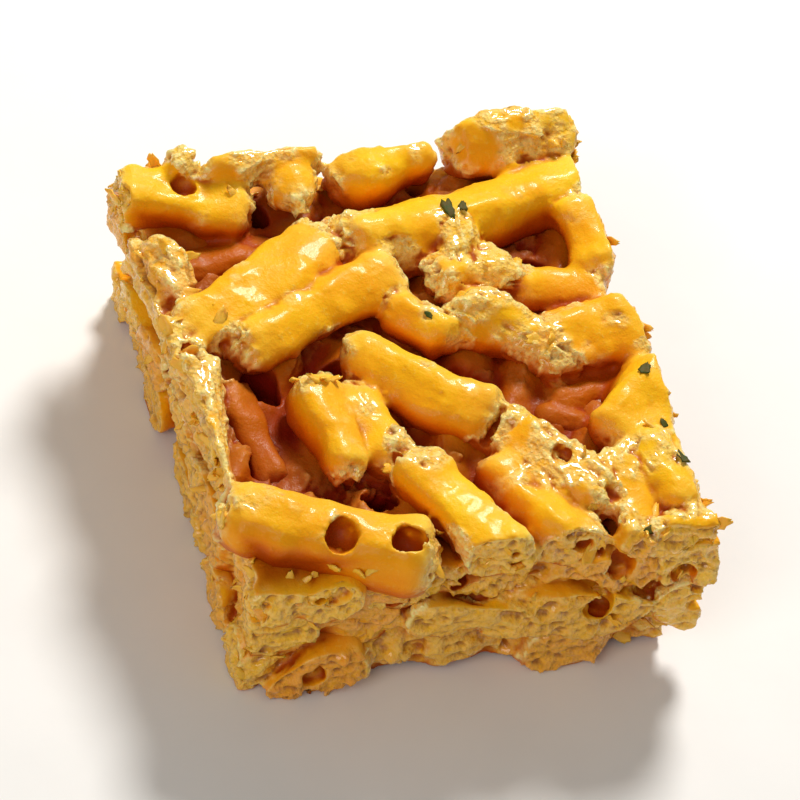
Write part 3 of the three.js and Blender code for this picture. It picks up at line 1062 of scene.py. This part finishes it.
def end_spots(count, dice):
    """The same for the torn ends and dry parts of the strands on top, from above."""
    laid = lay_strands()[0]
    weights = np.array([strand.dry + 0.03 for strand in laid])
    for pick in dice.choice(len(laid), count, p=weights / weights.sum()):
        strand = laid[pick]
        share = (1 if dice.randint(2) else -1) * dice.uniform(0.9 - 0.9 * strand.dry, 1.05)
        aside = strand.side * (strand.radius * dice.uniform(-0.8, 0.8))
        spot = strand.centre(share) + aside
        yield Vector((spot.x, spot.y, FAR)), DOWN


# ---- Sizes and looks that a user would change -------------------------------------------------

# The length of the skin's facets, and the rounds of smoothing over its creases.
GRAIN, SOFTNESS = ((0.00028, 2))


def colour_property(name, description, default):
    return FloatVectorProperty(name=name, description=description, default=default,
                               subtype="COLOR", size=3, min=0, max=1)


def length_property(name, description, default):
    return FloatProperty(name=name, description=description, default=default,
                         unit="LENGTH", subtype="DISTANCE", min=0, precision=5)


def angle_property(name, description, degrees):
    return FloatProperty(name=name, description=description, default=math.radians(degrees),
                         subtype="ANGLE")


def power_property(name, description, default):
    return FloatProperty(name=name, description=description, default=default, unit="POWER", min=0)


class SachimaSizes(bpy.types.PropertyGroup):
    grain: length_property("Grain", "Length of the fused skin's facets", GRAIN)
    web: length_property("Web", "Half the width of the gaps that syrup closes", 0.00025)
    softness: IntProperty(name="Softness", description="Rounds of smoothing over the creases",
                          default=SOFTNESS, min=0, max=20)
    dent: length_property("Dents", "Height of the broad dents and swellings", 0.00009)
    blister: length_property("Blisters", "Height of the blisters where the skin is torn", 0.00014)
    crumble: length_property("Crumble", "Height of the crumbs on the cut sides", 0.0003)
    pit: length_property("Pits", "Depth of the open pores on the cut sides", 0.0005)


class SachimaFinish(bpy.types.PropertyGroup):
    gold: colour_property("Gold", "Fried dough under syrup", (0.97, 0.42, 0.001))
    amber: colour_property("Amber", "The same where it is browner", (0.90, 0.27, 0.001))
    yellow: colour_property("Yellow", "The same where it is paler", (0.99, 0.60, 0.003))
    # Straw also paints light on the side facing the key light.
    straw: colour_property("Straw", "The paler dough towards a strand's ends", (0.99, 0.72, 0.12))
    # Orange is painted shade down the flanks, deep in the block and facing away from the light.
    orange: colour_property("Orange", "The same down a strand's flank", (0.78, 0.13, 0.0005))
    # Russet is painted shade in the creases.
    russet: colour_property("Russet", "The same in the creases", (0.37, 0.046, 0.0004))
    # Deep is syrup gathered in the gaps, and painted shade there.
    deep: colour_property("Deep", "Syrup gathered in the gaps", (0.24, 0.008, 0.003))
    # Pore is painted shade at the bottom of pits and pores.
    pore: colour_property("Pore", "The bottom of a pit or a pore", (0.34, 0.085, 0.006))
    cream: colour_property("Cream", "The dough's dry inside", (0.99, 0.79, 0.29))
    crust: colour_property("Crust", "The browner dry dough", (0.93, 0.48, 0.035))
    crumb: colour_property("Crumb", "The porous dough of the cut sides", (0.97, 0.50, 0.018))
    leaf: colour_property("Leaf", "Dried seaweed", (0.045, 0.07, 0.004))
    leaf_brown: colour_property("Leaf, brown", "Older seaweed", (0.10, 0.07, 0.006))


class StudioSettings(bpy.types.PropertyGroup):
    floor: colour_property("Floor", "The pale floor", (0.86, 0.86, 0.855))
    floor_shade: colour_property("Floor shade", "Its faint unevenness", (0.83, 0.83, 0.825))
    key: power_property("Key light", "Power of the large soft light behind the block", 4.9)
    fill: power_property("Fill light", "Power of the front light", 1.7)
    surround: FloatProperty(name="Surround", description="Strength of the white room",
                            default=0.23, min=0)
    azimuth: angle_property("Azimuth", "Where the camera stands round the block", -28.9)
    elevation: angle_property("Elevation", "How far the camera looks down", 47.9)
    roll: angle_property("Roll", "How far the camera leans", 16.9)
    distance: length_property("Distance", "From the camera to the block", 0.7)
    lens: FloatProperty(name="Lens", description="Focal length", default=283, min=1, unit="CAMERA")


# ---- Operators --------------------------------------------------------------------------------

# Place, size and colour, in metres.
KEY_LIGHT = ((0.24, 0.42, 0.50), 0.18, (1.0, 0.97, 0.92))
FILL_LIGHT = ((-0.45, -0.35, 0.45), 0.45, (1.0, 0.93, 0.82))
ROOM_COLOUR = (1.0, 0.99, 0.97, 1.0)


def settings(context):
    scene = context.scene
    return scene.sachima_sizes, scene.sachima_finish, scene.sachima_studio


class SACHIMA_OT_top_strands(bpy.types.Operator):
    """Model the strands and crumbs that show on top"""

    bl_idname = "sachima.top_strands"
    bl_label = "Top strands"

    def execute(self, context):
        sizes, finish, _ = settings(context)
        dice = np.random.RandomState(SEEDS["top"])
        crumbs = [crumb_mesh(*crumb, dice) for crumb in CRUMBS_ON_TOP]
        bubbles = []
        for *place, radius in BUBBLES_ON_TOP:
            bubbles.append(bubble_mesh(place, (radius, radius), UP, dice))
        place, way, radii, height = CRACK
        for rise in np.linspace(0, height, CRACK_STEPS):
            bubbles.append(bubble_mesh(Vector(place) + Vector((0, 0, rise)), radii, way, dice))
        make_strands("top_strands", lay_strands()[0], crumbs, bubbles, sizes, finish)
        return {"FINISHED"}


class SACHIMA_OT_layers(bpy.types.Operator):
    """Model the three layers of strands under the top, with what fills the block behind them"""

    bl_idname = "sachima.layers"
    bl_label = "Layers below"

    def execute(self, context):
        sizes, finish, _ = settings(context)
        dice = np.random.RandomState(SEEDS["layers"])
        gaps = []
        for x, y, radius in GAPS:
            gaps.append(bubble_mesh((x, y, GAP_MIDDLE), (radius, GAP_REACH), UP, dice))
        for number, (strands, filling) in enumerate(zip(lay_strands()[1:], FILLINGS)):
            inside = filling_mesh(*filling, SEEDS["filling"] + number)
            make_strands(f"layer_{number + 1}", strands, [inside], gaps, sizes, finish)
            gaps = []
        return {"FINISHED"}


class SACHIMA_OT_flakes(bpy.types.Operator):
    """Add the thin torn flakes that stand out of the cut sides and the strands' ends"""

    bl_idname = "sachima.flakes"
    bl_label = "Torn flakes"

    def execute(self, context):
        _, finish, _ = settings(context)
        dice = np.random.RandomState(SEEDS["flakes"])
        tree = surface_tree()
        rays = [
            *wall_spots(FLAKE_TRIES["sides"], dice),
            *end_spots(FLAKE_TRIES["ends"], dice),
            *rim_spots(FLAKE_TRIES["rims"], dice),
        ]
        flakes = []
        for start, way in rays:
            place, normal, _, _ = tree.ray_cast((start + CENTRED) * MM, way)
            length, lean = dice.uniform(*FLAKE_LENGTH) * MM, dice.uniform(*FLAKE_LEAN)
            if place is not None and not is_at_edge(place / MM - CENTRED):
                flakes.append(flake_mesh(place, normal, length, lean, FLAKE_THICK, dice))
        lay_on("torn_flakes", flakes, flake_material(finish))
        return {"FINISHED"}


class SACHIMA_OT_seaweed(bpy.types.Operator):
    """Scatter flecks of dried seaweed over the top"""

    bl_idname = "sachima.seaweed"
    bl_label = "Seaweed flecks"

    def execute(self, context):
        _, finish, _ = settings(context)
        dice = np.random.RandomState(SEEDS["flecks"])
        tree = surface_tree()
        flecks = []
        for x, y, length in FLECKS:
            place, normal, _, _ = tree.ray_cast((Vector((x, y, FAR)) + CENTRED) * MM, DOWN)
            if place is not None:
                place += normal * FLECK_LIFT
                flecks.append(flake_mesh(place, normal, length * MM, 0.0, FLECK_THICK, dice))
        lay_on("seaweed_flecks", flecks, seaweed_material(finish))
        return {"FINISHED"}


class SACHIMA_OT_studio(bpy.types.Operator):
    """Set up the floor, the lights and the camera"""

    bl_idname = "sachima.studio"
    bl_label = "Studio"

    def execute(self, context):
        studio = settings(context)[2]
        low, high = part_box(SOLID)
        self.lay_floor(studio, low.z)
        self.hang_light("key_light", KEY_LIGHT, studio.key)
        self.hang_light("fill_light", FILL_LIGHT, studio.fill)
        world = bpy.data.worlds.new("white_room")
        world.use_nodes = True
        background = world.node_tree.nodes["Background"]
        set_constants(background, {"Color": ROOM_COLOUR, "Strength": studio.surround})
        context.scene.world = world
        self.place_camera(context, studio, (low + high) / 2)
        context.scene.view_settings.view_transform = "Standard"
        return {"FINISHED"}

    @staticmethod
    def lay_floor(studio, height):
        bm = bmesh.new()
        bmesh.ops.create_grid(bm, x_segments=8, y_segments=8, size=1.5)
        bmesh.ops.translate(bm, vec=(0, 0, height), verts=bm.verts)
        floor = object_of("floor", [bm])
        floor.data.materials.append(floor_material(studio))

    @staticmethod
    def hang_light(name, kind, power):
        place, size, colour = kind
        light = bpy.data.lights.new(name, "AREA")
        light.shape, light.size, light.energy, light.color = "DISK", size, power, colour
        lamp = bpy.data.objects.new(name, light)
        lamp.location = place
        lamp.rotation_euler = (-Vector(place)).to_track_quat("-Z", "Y").to_euler()
        bpy.context.collection.objects.link(lamp)

    @staticmethod
    def place_camera(context, studio, target):
        camera = bpy.data.objects.new("camera", bpy.data.cameras.new("camera"))
        camera.data.lens, camera.data.clip_start = studio.lens, 0.01
        back = Vector((math.sin(studio.azimuth) * math.cos(studio.elevation),
                       -math.cos(studio.azimuth) * math.cos(studio.elevation),
                       math.sin(studio.elevation)))
        level = Vector((math.cos(studio.azimuth), math.sin(studio.azimuth), 0))
        over = back.cross(level)
        right = level * math.cos(studio.roll) + over * math.sin(studio.roll)
        axes = Matrix((right, back.cross(right), back)).transposed()
        camera.matrix_world = Matrix.Translation(target + back * studio.distance) @ axes.to_4x4()
        context.collection.objects.link(camera)
        context.scene.camera = camera


class SACHIMA_PT_panel(bpy.types.Panel):
    """The block's pieces, in the order in which they are made"""

    bl_label = "Sachima"
    bl_idname = "SACHIMA_PT_panel"
    bl_space_type = "VIEW_3D"
    bl_region_type = "UI"
    bl_category = "Sachima"

    def draw(self, context):
        for group in settings(context):
            box = self.layout.box()
            for name in group.bl_rna.properties.keys():
                if name not in {"rna_type", "name"}:
                    box.prop(group, name)
        for operator in OPERATORS:
            self.layout.operator(operator.bl_idname)


GROUPS = {
    "sachima_sizes": SachimaSizes,
    "sachima_finish": SachimaFinish,
    "sachima_studio": StudioSettings,
}
OPERATORS = (
    SACHIMA_OT_studio,
    SACHIMA_OT_top_strands,
    SACHIMA_OT_layers,
    SACHIMA_OT_flakes,
    SACHIMA_OT_seaweed,
)
CLASSES = (*GROUPS.values(), *OPERATORS, SACHIMA_PT_panel)


def register():
    for item in CLASSES:
        bpy.utils.register_class(item)
    for name, group in GROUPS.items():
        setattr(bpy.types.Scene, name, PointerProperty(type=group))


def unregister():
    for name in GROUPS:
        delattr(bpy.types.Scene, name)
    for item in reversed(CLASSES):
        bpy.utils.unregister_class(item)


def main():
    register()
    bpy.ops.sachima.studio()
    bpy.ops.sachima.top_strands()
    bpy.ops.sachima.layers()
    bpy.ops.sachima.flakes()
    bpy.ops.sachima.seaweed()


if __name__ == "__main__":
    main()
